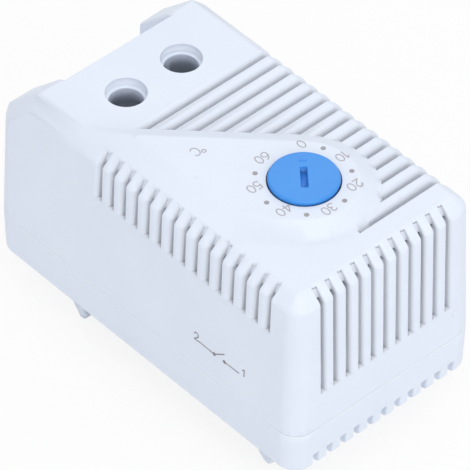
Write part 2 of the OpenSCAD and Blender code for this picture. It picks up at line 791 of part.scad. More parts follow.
module stack_rivets() {
    head_height = 0.8;
    head_flare = 0.7;
    color("silver") for (side = [-1, 1])
        translate([pivot_x, side * rivet_y, 0]) {
            translate([0, 0, z_floor + deck_thickness])
                cylinder(d = rivet_diameter, h = z_clamp_top - z_floor - deck_thickness);
            translate([0, 0, z_clamp_top])
                cylinder(d1 = rivet_diameter + 2 * head_flare, d2 = rivet_diameter, h = head_height);
        }
}

// One stamped bar: under the screw, down behind the terminal block and into the stack
module terminal_bar(side, z_foot) {
    y = side * terminal_y;
    z_low = min(z_foot, z_bar);
    z_high = max(z_foot + bar_thickness, z_bar_top);
    color("burlywood") difference() {
        union() {
            box([terminal_x - cage_length / 2, y - bar_width / 2, z_bar],
                [bar_leg + bar_thickness, y + bar_width / 2, z_bar_top]);
            box([bar_leg, y - bar_width / 2, z_low], [bar_leg + bar_thickness, y + bar_width / 2, z_high]);
            box([bar_leg, y - bar_width / 2, z_foot], [stack_end, y + bar_width / 2, z_foot + bar_thickness]);
            box([stack_x, -stack_width / 2, z_foot], [stack_end, stack_width / 2, z_foot + bar_thickness]);
        }
        translate([0, 0, z_foot]) rivet_holes(bar_thickness);
    }
}

module terminal_bar_1() { terminal_bar(-1, z_bar_1_foot); }
module terminal_bar_2() { terminal_bar(1, z_pedestal); }

// Clamp cage: a square tube round the bar, threaded on top
module terminal_cage(side) {
    color("silver") translate([terminal_x, side * terminal_y, 0]) difference() {
        box([-cage_length / 2, -cage_width / 2, z_cage], [cage_length / 2, cage_width / 2, z_cage_top]);
        box([-cage_length, cage_wall - cage_width / 2, z_cage_floor],
            [cage_length, cage_width / 2 - cage_wall, z_cage_top - cage_nut]);
        translate([0, 0, z_cage_top - cage_nut - 1])
            cylinder(d = screw_shank + 2 * running_fit, h = cage_nut + 2);
    }
}

module terminal_cage_1() { terminal_cage(-1); }
module terminal_cage_2() { terminal_cage(1); }

module terminal_screw(side) {
    drive_width = 1;
    drive_depth = 1.1;
    color("lightgray") translate([terminal_x, side * terminal_y, 0]) difference() {
        union() {
            translate([0, 0, z_bar_top + running_fit])
                cylinder(d = screw_shank, h = z_head - z_bar_top - running_fit);
            translate([0, 0, z_head]) cylinder(d = screw_head, h = screw_head_height);
        }
        translate([0, 0, z_head_top]) cube([screw_head + 1, drive_width, 2 * drive_depth], center = true);
    }
}

module terminal_screw_1() { terminal_screw(-1); }
module terminal_screw_2() { terminal_screw(1); }

housing();
base();
carrier();
dial();
friction_washer();
dial_clip();
setting_spindle();
threaded_bush();
setting_bridge();
bridge_screws();
bimetal_strip();
moving_contact();
armature();
contact_leaf();
fixed_contact();
snap_magnet();
insulator();
clamp_plate();
stack_rivets();
terminal_bar_1();
terminal_bar_2();
terminal_cage_1();
terminal_cage_2();
terminal_screw_1();
terminal_screw_2();
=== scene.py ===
"""Rail-mounted temperature switch: rounded mouldings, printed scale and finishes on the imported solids."""

import json
import math

import bmesh
import bpy
from mathutils import Matrix, Vector


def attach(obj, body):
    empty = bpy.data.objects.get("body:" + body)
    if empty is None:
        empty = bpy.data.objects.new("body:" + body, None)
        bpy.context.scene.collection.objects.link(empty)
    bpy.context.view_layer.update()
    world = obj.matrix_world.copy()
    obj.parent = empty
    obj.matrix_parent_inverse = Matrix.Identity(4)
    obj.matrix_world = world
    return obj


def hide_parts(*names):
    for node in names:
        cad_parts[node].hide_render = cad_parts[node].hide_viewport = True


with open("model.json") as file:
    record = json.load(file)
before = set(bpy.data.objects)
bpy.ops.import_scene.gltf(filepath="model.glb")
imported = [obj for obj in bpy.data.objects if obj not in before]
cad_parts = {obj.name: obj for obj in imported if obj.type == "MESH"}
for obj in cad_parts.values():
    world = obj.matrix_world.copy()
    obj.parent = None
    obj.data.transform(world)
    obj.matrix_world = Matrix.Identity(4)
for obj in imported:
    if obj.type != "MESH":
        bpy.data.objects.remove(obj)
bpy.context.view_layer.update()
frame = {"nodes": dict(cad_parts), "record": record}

MM = 0.001
scene = bpy.context.scene

# Sizes of the case, in millimetres, as the solids have them.
HALF_LENGTH = 30.0
HALF_WIDTH = 16.5
Z_PART = 12.9
Z_FRONT = 37.0
Z_PLATEAU = 38.7
DRAFT = math.tan(math.radians(1.9))
DIAL_X = 13.5
TERMINAL_X = -15.85
TERMINAL_Y = 4.95
X_RECESS = -23.05


def mm(x, y, z):
    """A point of the part's frame, from millimetres."""
    return Vector((x, y, z)) * MM


# Camera: a long lens at the viewing angle, turned a little about its own axis.
CAMERA_TARGET = mm(4.897, -4.186, 25.0)
CAMERA_AZIMUTH = math.radians(47.0321)
CAMERA_ELEVATION = math.radians(44.7659)
CAMERA_ROLL = math.radians(0.692)
CAMERA_DISTANCE = 0.798
CAMERA_LENS = 461.06
CAMERA_SENSOR = 36.0


def make_camera():
    data = bpy.data.cameras.new("camera")
    data.sensor_width = CAMERA_SENSOR
    data.lens = CAMERA_LENS
    camera = bpy.data.objects.new("camera", data)
    scene.collection.objects.link(camera)
    level = math.cos(CAMERA_ELEVATION)
    turn_x = math.sin(CAMERA_AZIMUTH)
    turn_y = math.cos(CAMERA_AZIMUTH)
    back = Vector((turn_x * level, -turn_y * level, math.sin(CAMERA_ELEVATION)))
    right = Vector((turn_y, turn_x, 0.0))
    up = back.cross(right)
    rolled_right = right * math.cos(CAMERA_ROLL) + up * math.sin(CAMERA_ROLL)
    rolled_up = up * math.cos(CAMERA_ROLL) - right * math.sin(CAMERA_ROLL)
    turn = Matrix((rolled_right, rolled_up, back)).transposed().to_4x4()
    camera.matrix_world = Matrix.Translation(CAMERA_TARGET + back * CAMERA_DISTANCE) @ turn
    scene.camera = camera


make_camera()


# Shader maths: a wrapped socket adds its own nodes when it is used in an expression.
class Wire:
    """One output socket of a material's nodes, with arithmetic that adds Math nodes."""

    def __init__(self, tree, socket):
        self.tree = tree
        self.socket = socket

    def node(self, kind, settings=None, output=0, **inputs):
        """Adds a node of any kind: its settings first, then the values or links of its sockets."""
        made = self.tree.nodes.new(kind)
        for name, value in (settings or {}).items():
            if name == "stops":
                set_stops(made.color_ramp, value)
            else:
                setattr(made, name, value)
        for name, value in inputs.items():
            plug(self.tree, find_input(made, name), value)
        return Wire(self.tree, made.outputs[output] if made.outputs else None)

    def math(self, operation, *values):
        made = self.tree.nodes.new("ShaderNodeMath")
        made.operation = operation
        for index, value in enumerate(values):
            plug(self.tree, made.inputs[index], value)
        return Wire(self.tree, made.outputs[0])

    def __add__(self, other):
        return self.math("ADD", self, other)

    def __sub__(self, other):
        return self.math("SUBTRACT", self, other)

    def __rsub__(self, other):
        return self.math("SUBTRACT", other, self)

    def __mul__(self, other):
        return self.math("MULTIPLY", self, other)

    __radd__ = __add__
    __rmul__ = __mul__


def find_input(node, name):
    """A node's input by name, with underscores for spaces, or by place as in1, in2."""
    if name.startswith("in") and name[2:].isdigit():
        return node.inputs[int(name[2:])]
    return node.inputs[name.replace("_", " ")]


def plug(tree, socket, value):
    """Links a wire to a socket, or sets the socket's own value."""
    if isinstance(value, Wire):
        tree.links.new(value.socket, socket)
    else:
        socket.default_value = value


def set_stops(ramp, stops):
    """Gives a colour ramp its stops: pairs of place and colour."""
    while len(ramp.elements) < len(stops):
        ramp.elements.new(1.0)
    for element, (place, colour) in zip(ramp.elements, stops):
        element.position = place
        element.color = colour


def linear(red, green, blue):
    """A colour written as it shows on screen, 0 to 255, as the shader needs it."""
    parts = []
    for value in (red, green, blue):
        share = value / 255.0
        parts.append(share / 12.92 if share <= 0.04045 else ((share + 0.055) / 1.055) ** 2.4)
    return (*parts, 1.0)


BLACK = (0.0, 0.0, 0.0, 1.0)
WHITE = (1.0, 1.0, 1.0, 1.0)


class Finish:
    """A new procedural material: its place on the part, its main shader and helpers for patterns."""

    def __init__(self, name):
        self.material = bpy.data.materials.new(name)
        self.material.use_nodes = True
        self.tree = self.material.node_tree
        self.tree.nodes.clear()
        self.start = Wire(self.tree, None)
        self.place = self.start.node("ShaderNodeTexCoord", output="Object")

    def noise(self, scale, detail=2.0, roughness=0.5):
        return self.start.node(
            "ShaderNodeTexNoise", Vector=self.place, Scale=scale, Detail=detail, Roughness=roughness
        )

    def ramp(self, value, *stops):
        return self.start.node("ShaderNodeValToRGB", {"stops": stops}, Fac=value)

    def blend(self, share, first, second):
        """Mixes two colours."""
        return self.start.node("ShaderNodeMix", {"data_type": "RGBA"}, 2, in0=share, in6=first, in7=second)

    def narrow(self, reach, closed, open_):
        """1 in gaps narrower than reach, falling to 0 on open faces."""
        air = self.start.node("ShaderNodeAmbientOcclusion", {"samples": 8}, "AO", Distance=reach)
        return self.ramp(air, (closed, WHITE), (open_, BLACK))

    def share(self, value):
        """A value kept between 0 and 1."""
        return value.math("MINIMUM", value.math("MAXIMUM", value, 0.0), 1.0)

    def bump(self, height, strength, distance):
        return self.start.node("ShaderNodeBump", Height=height, Strength=strength, Distance=distance)

    def surface(self, **inputs):
        shader = self.start.node("ShaderNodeBsdfPrincipled", **inputs)
        self.start.node("ShaderNodeOutputMaterial", Surface=shader)
        return self.material


# Painted shade in slots and narrow gaps: the reach of the gaps that it darkens, in metres, and the planes
# that it starts at, in millimetres.
SHADE_REACH = 0.002
SHADE_FLOOR = Z_PART + 0.6
SHADE_START = -10.4
SHADE_SLOPE = 2.0 / MM
SHADE_DULL = 0.5

# Moulded and drawn faces: waves to the metre, and the depth of the moulded grain in metres.
CLOUD_SCALE = 90.0
GRAIN_SCALE = 5200.0
GRAIN_DEPTH = 0.00004
DRAWN_SCALE = 1400.0
PATCH_SCALE = 420.0
INK_SCALE = 2600.0


def moulded_plastic(name, pale, deep, shade_colour, roughness, grain, shade_share=0.55, spread=(0.42, 0.97)):
    """Moulded plastic: faint clouding, painted shade that darkens the slots and narrow gaps, and a shallow
    spark-eroded grain.
    """
    finish = Finish(name)
    cloud = finish.noise(CLOUD_SCALE, 3.0)
    fine = finish.noise(GRAIN_SCALE, 2.0, 0.6)
    above = finish.start.node("ShaderNodeSeparateXYZ", output="Z", Vector=finish.place)
    along = finish.start.node("ShaderNodeSeparateXYZ", output="X", Vector=finish.place)
    high = finish.share((above - SHADE_FLOOR * MM) * SHADE_SLOPE)
    beyond = finish.share((along - SHADE_START * MM) * SHADE_SLOPE)
    # Painted shade: an ambient occlusion mask darkens the colour towards the shade colour in slots and narrow
    # gaps, above a set height and beyond a set place along the case; the same mask raises the roughness.
    painted_shade = finish.narrow(SHADE_REACH, *spread) * (high * beyond) * shade_share
    colour = finish.blend(painted_shade, finish.ramp(cloud, (0.3, deep), (0.7, pale)), shade_colour)
    sheen = roughness + (cloud - 0.5) * 0.10 + (fine - 0.5) * 0.08 + painted_shade * SHADE_DULL
    return finish.surface(
        Base_Color=colour, Roughness=sheen, Normal=finish.bump(fine, grain, GRAIN_DEPTH), IOR=1.5
    )


def metal(name, pale, deep, roughness, streak=(1.0, 1.0, 1.0)):
    """Plated or rolled metal: a patchy tone, drawn streaks and fine scratches in its roughness."""
    finish = Finish(name)
    scale = tuple(DRAWN_SCALE * share for share in streak)
    stretched = finish.start.node("ShaderNodeMapping", Vector=finish.place, Scale=scale)
    drawn = finish.start.node("ShaderNodeTexNoise", Vector=stretched, Scale=1.0, Detail=4.0, Roughness=0.6)
    patch = finish.noise(PATCH_SCALE, 3.0)
    colour = finish.ramp(patch * 0.6 + drawn * 0.4, (0.35, deep), (0.65, pale))
    dull = roughness + (drawn - 0.5) * 0.22 + (patch - 0.5) * 0.12
    return finish.surface(
        Base_Color=colour, Metallic=1.0, Roughness=dull, Normal=finish.bump(drawn, 0.25, 0.00003)
    )


def printed_ink(name, pale, deep):
    """Pad-printed ink: thin, a little uneven in cover, and duller than the plastic."""
    finish = Finish(name)
    cover = finish.noise(INK_SCALE, 3.0, 0.6)
    return finish.surface(
        Base_Color=finish.ramp(cover, (0.35, deep), (0.65, pale)),
        Roughness=0.5 + (cover - 0.5) * 0.2,
        Normal=finish.bump(cover, 0.15, 0.00002),
    )


# The third colour of each moulded plastic is the painted shade that darkens its slots and narrow gaps.
case_plastic = moulded_plastic(
    "case_plastic", linear(229, 237, 250), linear(225, 233, 247), linear(204, 204, 204), 0.44, 0.25
)
# Painted highlight: the seam lip is paler than the case, standing in for light caught along the parting line.
seam_highlight_plastic = moulded_plastic(
    "seam_highlight_plastic", linear(236, 243, 252), linear(233, 240, 250), linear(204, 204, 204), 0.44, 0.25, 0.0
)
dial_plastic = moulded_plastic(
    "dial_plastic", linear(66, 154, 238), linear(58, 145, 232), linear(24, 64, 140), 0.3, 0.2, 0.7, (0.1, 0.5)
)
carrier_plastic = moulded_plastic(
    "carrier_plastic", linear(112, 116, 124), linear(92, 96, 104), linear(60, 60, 62), 0.5, 0.3
)
insulation = moulded_plastic(
    "fibre_insulation", linear(186, 128, 84), linear(158, 102, 62), linear(96, 66, 44), 0.6, 0.5
)
steel = metal("zinc_steel", linear(214, 216, 220), linear(176, 180, 186), 0.32)
brass = metal("brass", linear(222, 190, 112), linear(196, 160, 84), 0.3)
bimetal = metal("rolled_bimetal", linear(206, 200, 188), linear(170, 164, 152), 0.34, (0.05, 1.0, 1.0))
contact_metal = metal("contact_metal", linear(232, 230, 226), linear(204, 202, 198), 0.25)
iron = metal("pressed_iron", linear(150, 150, 154), linear(110, 110, 116), 0.42)
scale_ink = printed_ink("scale_ink", linear(186, 181, 187), linear(174, 169, 175))
dot_ink = printed_ink("dot_ink", linear(168, 165, 170), linear(156, 153, 158))
symbol_ink = printed_ink("symbol_ink", linear(146, 142, 146), linear(130, 126, 130))

SLOT_FINISH = {
    "case_plastic": case_plastic,
    "carrier_plastic": carrier_plastic,
    "dial_plastic": dial_plastic,
    "steel": steel,
    "brass": brass,
    "bimetal": bimetal,
    "contact_metal": contact_metal,
    "iron": iron,
    "insulation": insulation,
}


# Rounded mouldings: the solid's mesh with each sharp edge rounded by a radius of its own.
WELD = 0.0000002
FLAT_ANGLE = math.radians(0.35)
SHARP_ANGLE = 24.0


def new_piece(name, mesh, finish, body):
    piece = bpy.data.objects.new(name, mesh)
    scene.collection.objects.link(piece)
    mesh.materials.clear()
    mesh.materials.append(finish)
    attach(piece, body)
    return piece


def case_piece(made, name, finish):
    """Makes a piece that rides on the case from a mesh in hand."""
    bmesh.ops.recalc_face_normals(made, faces=made.faces)
    mesh = bpy.data.meshes.new(name)
    made.to_mesh(mesh)
    made.free()
    return new_piece(name, mesh, finish, "case")


def clean_solid(node):
    """The node's mesh with its seams welded and its flat faces merged."""
    made = bmesh.new()
    made.from_mesh(frame["nodes"][node].data)
    bmesh.ops.remove_doubles(made, verts=made.verts, dist=WELD)
    loose = [edge for edge in made.edges if not edge.link_faces]
    bmesh.ops.delete(made, geom=loose, context="EDGES")
    bmesh.ops.dissolve_limit(made, angle_limit=FLAT_ANGLE, verts=made.verts, edges=made.edges)
    return made


def rounded_solid(node, name, finish, body, radius_of, segments=3):
    """Makes a piece from a solid: radius_of gives an edge's rounding in mm from its ends and its angle."""
    made = clean_solid(node)
    weight = made.edges.layers.float.new("bevel_weight_edge")
    largest = 0.0
    for edge in made.edges:
        if len(edge.link_faces) != 2:
            continue
        angle = math.degrees(edge.calc_face_angle_signed(0.0))
        if abs(angle) < SHARP_ANGLE:
            continue
        ends = [vert.co / MM for vert in edge.verts]
        edge[weight] = radius_of(ends[0], ends[1], angle)
        largest = max(largest, edge[weight])
    for edge in made.edges:
        edge[weight] = edge[weight] / largest
    for face in made.faces:
        face.smooth = True
    mesh = bpy.data.meshes.new(name)
    made.to_mesh(mesh)
    made.free()
    piece = new_piece(name, mesh, finish, body)
    bevel = piece.modifiers.new("rounding", "BEVEL")
    bevel.limit_method = "WEIGHT"
    bevel.width = largest * MM
    bevel.segments = segments
    bevel.use_clamp_overlap = False
    bevel.loop_slide = False
    bevel.miter_outer = "MITER_SHARP"
    normals = piece.modifiers.new("face_normals", "WEIGHTED_NORMAL")
    normals.keep_sharp = True
    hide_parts(node)
    return piece


def skin_depth(point):
    """How far a point of the case lies inside the nearest outer face, in millimetres."""
    lean = DRAFT * abs(point.z - Z_PART)
    side = HALF_WIDTH - lean - abs(point.y)
    end = HALF_LENGTH - lean - abs(point.x)
    return min(side, end, Z_FRONT - point.z)


def off_axis(point, x, y):
    return math.hypot(point.x - x, point.y - y)


# Rounding of the case's edges, in millimetres.
MAIN_EDGE = 0.5
PLATEAU_EDGE = 0.2
RIB_EDGE = 0.25
SOFT_RIB_EDGE = 0.95
SOFT_END_EDGE = 0.55
SLOT_END_EDGE = 0.35
CHEEK_EDGE = 0.45
BORE_EDGE = 0.15
WELL_EDGE = 0.04

# Where those edges lie, in millimetres, and the angle in degrees above which an edge is a rim, not a corner.
SEAM_REACH = 0.4
BORE_REACH = 3.2
BORE_DEPTH = 2.0
WELL_REACH = 5.3
SKIN = 1.2
CHEEK_X = -22.9
CHEEK_Y = 13.2
CHEEK_Z = 29.5
PLATEAU_RADIUS = 10.3
RIM_BAND = 0.2
FLAT_BAND = 0.1
NEAR = 0.05
RIM_ANGLE = 58.0


def at_plateau_foot(point):
    """Whether a point lies where the plateau's sloping edge meets the slotted front."""
    if abs(point.z - Z_FRONT) > NEAR:
        return False
    x = point.x - DIAL_X
    ahead = (x - point.y) / math.sqrt(2)
    aside = (x + point.y) / math.sqrt(2)
    reach = abs(ahead) if aside < 0 else math.hypot(x, point.y)
    return abs(reach - PLATEAU_RADIUS) < FLAT_BAND


# Slots: where those along the case and those across its end are, how many and how far apart.
SLOT_START = -8.9
SLOT_PITCH = 2.34
SLOT_COUNT = 15
END_SLOT_PITCH = 2.24
END_SLOTS_BESIDE = 5
END_SLOTS_X = 25.5
SLOT_MIDDLE = 0.05


def slot_rim(point):
    """Rounding of a slot's rim at a point: each rib is rounder on one side than on the other."""
    if point.x > END_SLOTS_X:
        place = point.y / END_SLOT_PITCH
        soft = SOFT_END_EDGE
    else:
        place = (SLOT_START - point.x) / SLOT_PITCH
        soft = SOFT_RIB_EDGE
    aside = place - round(place)
    if abs(aside) < SLOT_MIDDLE:
        return SLOT_END_EDGE
    return soft if aside > 0 else RIB_EDGE


def housing_rounding(start, end, angle):
    """Corners and slot rims are soft, the bores and the dial's well slightly so, and the rest is sharp."""
    middle = (start + end) / 2
    if angle < 0 or middle.z < Z_PART + SEAM_REACH:
        return 0.0
    if min(off_axis(middle, TERMINAL_X, side * TERMINAL_Y) for side in (-1, 1)) < BORE_REACH:
        return BORE_EDGE if middle.z > Z_FRONT - BORE_DEPTH else 0.0
    if off_axis(middle, DIAL_X, 0.0) < WELL_REACH:
        return WELL_EDGE if middle.z > Z_PLATEAU - RIM_BAND else 0.0
    if abs(middle.x - X_RECESS) < NEAR:
        return BORE_EDGE
    if max(skin_depth(start), skin_depth(end)) > SKIN and middle.x > X_RECESS:
        return 0.0
    if at_plateau_foot(start) and at_plateau_foot(end):
        return 0.0
    if middle.x < CHEEK_X and abs(middle.y) > CHEEK_Y and middle.z > CHEEK_Z:
        return 0.0
    if min(start.z, end.z) > Z_PLATEAU - FLAT_BAND:
        return PLATEAU_EDGE
    if angle < RIM_ANGLE:
        return MAIN_EDGE
    return CHEEK_EDGE if middle.x < X_RECESS - RIM_BAND else slot_rim(middle)


housing_shell = rounded_solid("housing", "housing_shell", case_plastic, "case", housing_rounding, 4)


# Slot tops: each slot of the near side and of the end runs out on a short ramp below the front's edge.
RAMP_PROFILE = ((-0.03, 36.7), (0.36, 36.0), (0.6, 35.4), (0.6, 35.25), (-0.03, 35.25))
RAMP_SLOPING = 3
RAMP_HALF = 0.37
SIDE_RAMP_DROP = 0.4
END_RAMP_DROP = 0.2
SIDE_RAMP_Y = -13.91
END_RAMP_X = 27.41


def add_ramp(made, origin, across, out, soft_drop):
    """Adds one ramp: its outline on both walls of the slot, lower at the rounder rim."""
    rows = []
    for side in (-1, 1):
        row = []
        for index, (reach, height) in enumerate(RAMP_PROFILE):
            drop = soft_drop if side > 0 and index < RAMP_SLOPING else 0.0
            place = Vector(origin) + Vector(across) * side * RAMP_HALF + Vector(out) * reach
            row.append(made.verts.new(mm(place.x, place.y, height - drop)))
        rows.append(row)
    made.faces.new(rows[0])
    made.faces.new(reversed(rows[1]))
    for index in range(len(RAMP_PROFILE)):
        after = (index + 1) % len(RAMP_PROFILE)
        made.faces.new((rows[0][after], rows[0][index], rows[1][index], rows[1][after]))


def make_slot_ramps():
    made = bmesh.new()
    for step in range(SLOT_COUNT):
        origin = (SLOT_START + step * SLOT_PITCH, SIDE_RAMP_Y, 0)
        add_ramp(made, origin, (-1, 0, 0), (0, -1, 0), SIDE_RAMP_DROP)
    for step in range(-END_SLOTS_BESIDE, END_SLOTS_BESIDE + 1):
        origin = (END_RAMP_X, step * END_SLOT_PITCH, 0)
        add_ramp(made, origin, (0, 1, 0), (1, 0, 0), END_RAMP_DROP)
    case_piece(made, "slot_ramps", case_plastic)


make_slot_ramps()


# Rounding of the base's edges, and the heights that part its wall, lower edge and hooks, in millimetres.
WALL_EDGE = 0.25
LOWER_EDGE = 0.2
HOOK_EDGE = 0.3
WALL_SKIN = 1.0
Z_WALL = 6.3
Z_HOOKS = 5.9


def base_rounding(start, end, angle):
    """The wall, its notched lower edge and the hooks are soft; the parting edge and the inside stay sharp."""
    middle = (start + end) / 2
    if angle < 0 or middle.z > Z_PART - SEAM_REACH:
        return 0.0
    if middle.z > Z_WALL:
        return WALL_EDGE if skin_depth(middle) < WALL_SKIN else 0.0
    return HOOK_EDGE if middle.z < Z_HOOKS else LOWER_EDGE


base_tray = rounded_solid("base", "base_tray", case_plastic, "case", base_rounding)


# Rounding of the dial's edges, and how high they stand against the plateau, in millimetres.
DIAL_EDGE = 0.12
POINTER_EDGE = 0.13
DRIVER_CORNER_EDGE = 0.3
DIAL_RISE = 0.4
POINTER_RISE = 0.65
DRIVER_DEPTH = 1.0
UPRIGHT = 0.01


def dial_rounding(start, end, angle):
    """The dial's rim, the screwdriver slot and the pointer are slightly rounded."""
    low = min(start.z, end.z)
    if angle < 0:
        upright = math.hypot(start.x - end.x, start.y - end.y) < UPRIGHT
        return DRIVER_CORNER_EDGE if upright and low > Z_PLATEAU - DRIVER_DEPTH else 0.0
    if low < Z_PLATEAU + DIAL_RISE:
        return 0.0
    return POINTER_EDGE if max(start.z, end.z) > Z_PLATEAU + POINTER_RISE else DIAL_EDGE


dial_knob = rounded_solid("dial", "dial_knob", dial_plastic, "dial", dial_rounding)

PART_ROUNDING = 0.00008
PART_ANGLE = math.radians(40.0)
PIECES_MADE = ("housing", "base", "dial")


def finish_node(name, slot):
    """Gives a carried-over solid its finish and slightly rounded edges."""
    node = frame["nodes"][name]
    node.data.materials.clear()
    node.data.materials.append(SLOT_FINISH[slot])
    node.modifiers.new("welded_seams", "WELD").merge_threshold = WELD
    bevel = node.modifiers.new("rounding", "BEVEL")
    bevel.width = PART_ROUNDING
    bevel.segments = 2
    bevel.limit_method = "ANGLE"
    bevel.angle_limit = PART_ANGLE
    node.modifiers.new("face_normals", "WEIGHTED_NORMAL").keep_sharp = True


for row in frame["record"]["subparts"]:
    if row["node"] not in PIECES_MADE:
        finish_node(row["node"], row["material_slot"])


# Print: pen strokes with round ends, a few hundredths of a millimetre thick.
INK_LOW = -0.02
INK_HIGH = 0.025
INK_LAYER = 0.004
CAP_STEPS = 8


def arc(x, y, radius_x, radius_y, start, end, steps=16):
    """Points along part of an ellipse, from one angle to another in degrees."""
    points = []
    for step in range(steps + 1):
        turn = math.radians(start + (end - start) * step / steps)
        points.append((x + radius_x * math.cos(turn), y + radius_y * math.sin(turn)))
    return points


def circle(x, y, radius, steps=24):
    """The corners of a round outline."""
    return arc(x, y, radius, radius, 0, 360 - 360 / steps, steps - 1)


# Each figure is one or more strokes in a box one unit high.
FIGURES = {
    "0": [arc(0.31, 0.5, 0.31, 0.5, 0, 360, 28)],
    "1": [[(0.06, 0.76), (0.32, 1.0)], [(0.32, 1.0), (0.32, 0.0)]],
    "2": [arc(0.31, 0.69, 0.29, 0.31, 170, -38) + [(0.02, 0.0)], [(0.02, 0.0), (0.62, 0.0)]],
    "3": [arc(0.29, 0.75, 0.25, 0.25, 150, -90), arc(0.29, 0.25, 0.30, 0.25, 90, -150)],
    "4": [[(0.48, 0.0), (0.48, 1.0)], [(0.48, 1.0), (0.0, 0.3)], [(0.0, 0.3), (0.68, 0.3)]],
    "5": [[(0.55, 1.0), (0.12, 1.0)], [(0.12, 1.0), (0.06, 0.54)], arc(0.29, 0.32, 0.30, 0.32, 138, -150)],
    "6": [arc(0.31, 0.31, 0.30, 0.31, 0, 360, 24), arc(0.62, 0.31, 0.61, 0.7, 105, 180)],
    "C": [arc(0.36, 0.5, 0.36, 0.5, 45, 315, 20)],
    "degree": [arc(0.2, 0.8, 0.2, 0.2, 0, 360, 18)],
}
FIGURE_WIDTH = {
    "0": 0.62, "1": 0.4, "2": 0.64, "3": 0.6, "4": 0.68, "5": 0.6, "6": 0.62, "C": 0.62, "degree": 0.4
}
FIGURE_GAP = 0.2


class Face:
    """A flat face to print on: a point of it, its reading direction and its upward direction."""

    def __init__(self, origin, right, up):
        self.origin = Vector(origin)
        self.right = Vector(right).normalized()
        self.up = Vector(up).normalized()
        self.out = self.right.cross(self.up)

    def at(self, across, along, height):
        return (self.origin + self.right * across + self.up * along + self.out * height) * MM


def add_slab(made, face, outline, patches=None, lift=0.0):
    """Adds a thin flat solid with the given outline; patches name the points of each of its flat faces."""
    low = [made.verts.new(face.at(u, v, INK_LOW)) for u, v in outline]
    high = [made.verts.new(face.at(u, v, INK_HIGH + lift)) for u, v in outline]
    for patch in patches or [range(len(outline))]:
        made.faces.new([high[index] for index in patch])
        made.faces.new([low[index] for index in reversed(patch)])
    for index in range(len(outline)):
        after = (index + 1) % len(outline)
        made.faces.new((low[index], low[after], high[after], high[index]))


def add_ring(made, face, outer, inner, low, high):
    """Adds a flat ring between two outlines of as many points."""
    rows = []
    for outline, height in ((outer, low), (outer, high), (inner, high), (inner, low)):
        rows.append([made.verts.new(face.at(u, v, height)) for u, v in outline])
    for row in range(4):
        first, second = rows[row], rows[(row + 1) % 4]
        for index in range(len(outer)):
            after = (index + 1) % len(outer)
            made.faces.new((first[index], first[after], second[after], second[index]))


def sideways(points, index, closed):
    """The unit direction to the left of a stroke at one of its points."""
    count = len(points)
    before = points[(index - 1) % count] if closed or index else points[index]
    after = points[(index + 1) % count] if closed or index < count - 1 else points[index]
    along = (after[0] - before[0], after[1] - before[1])
    length = math.hypot(*along)
    return (-along[1] / length, along[0] / length)


def add_stroke(made, face, points, width, lift=0.0):
    """Adds one stroke of a pen: a ring where it closes on itself, or a band with round ends."""
    half = width / 2
    closed = math.dist(points[0], points[-1]) < 0.001
    if closed:
        points = points[:-1]
    lefts = []
    rights = []
    for index, (u, v) in enumerate(points):
        turn = sideways(points, index, closed)
        lefts.append((u + turn[0] * half, v + turn[1] * half))
        rights.append((u - turn[0] * half, v - turn[1] * half))
    if closed:
        add_ring(made, face, rights, lefts, INK_LOW, INK_HIGH + lift)
        return
    count = len(points)
    outline = list(rights)
    outline += end_cap(points[-1], sideways(points, count - 1, False), half, -1)
    outline += reversed(lefts)
    outline += end_cap(points[0], sideways(points, 0, False), half, 1)
    cap = CAP_STEPS - 1
    far_left = count + cap
    whole = len(outline)
    patches = [list(range(count - 1, far_left + 1))]
    patches.append(list(range(far_left + count - 1, whole)) + [0])
    for index in range(count - 1):
        left = far_left + count - 1 - index
        patches.append([index, index + 1, left - 1, left])
    add_slab(made, face, outline, patches, lift)


def end_cap(point, turn, half, side):
    """Points of the half circle that closes a stroke, from its right side round or its left side back."""
    start = math.atan2(turn[1], turn[0]) + (math.pi if side < 0 else 0.0)
    return [
        (point[0] + half * math.cos(start + math.pi * step / CAP_STEPS),
         point[1] + half * math.sin(start + math.pi * step / CAP_STEPS))
        for step in range(1, CAP_STEPS)
    ]


def add_figures(made, face, text, centre, height, width):
    """Adds a row of figures about a centre, with a pen of the given width."""
    total = sum(FIGURE_WIDTH[name] for name in text) + FIGURE_GAP * (len(text) - 1)
    across = centre[0] - total * height / 2
    for name in text:
        for layer, stroke in enumerate(FIGURES[name]):
            placed = [(across + u * height, centre[1] + (v - 0.5) * height) for u, v in stroke]
            add_stroke(made, face, placed, width, layer * INK_LAYER)
        across += (FIGURE_WIDTH[name] + FIGURE_GAP) * height


# Dial scale: seven numbers and the dots between them, all reading across the case.
NUMBERS = 7
SCALE_ZERO = 140.0
SCALE_STEP = 360.0 / NUMBERS
NUMBER_WIDE = 6.73
NUMBER_NEAR = 6.45
NUMBER_SHIFT = 0.28
DOT_RADIUS = 6.5
DOT_SIZE = 0.35
NUMBER_HEIGHT = 1.4
PEN = 0.15
DEGREE_PLACE = (6.05, -13.2)
UNIT_PLACE = (6.95, -13.4)
UNIT_HEIGHT = 1.1 * NUMBER_HEIGHT


def number_place(turn):
    """Where a number stands: the ring of numbers is a little flat and set back from the near corner."""
    wide = NUMBER_WIDE * (math.cos(turn) + math.sin(turn)) / 2
    near = (NUMBER_NEAR * (math.cos(turn) - math.sin(turn)) - NUMBER_SHIFT * math.sqrt(2)) / 2
    return (near - wide, wide + near)


